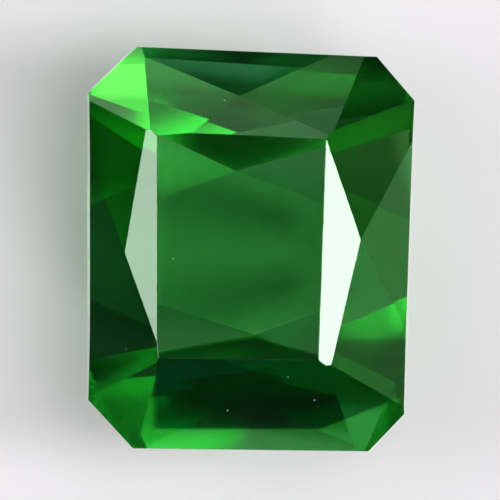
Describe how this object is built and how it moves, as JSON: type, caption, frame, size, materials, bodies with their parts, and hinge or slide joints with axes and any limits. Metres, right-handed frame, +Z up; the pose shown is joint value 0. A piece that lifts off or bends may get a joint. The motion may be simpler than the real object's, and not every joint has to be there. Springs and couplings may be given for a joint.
{
  "type": "faceted tourmaline",
  "caption": "Loose cut green tourmaline with a clipped-corner rectangular outline and crossed facets, lying on its culet.",
  "frame": {"origin": "middle of the base, where the stone lies on its culet", "axes": "+Y along the stone's length towards its head, +Z up, the table facing straight up"},
  "size_m": [0.0056, 0.007, 0.0037],
  "materials": {
    "crystal": "polished, clear green, see-through"
  },
  "bodies": {
    "root": {"tourmaline": "crystal"}
  },
  "joints": []
}
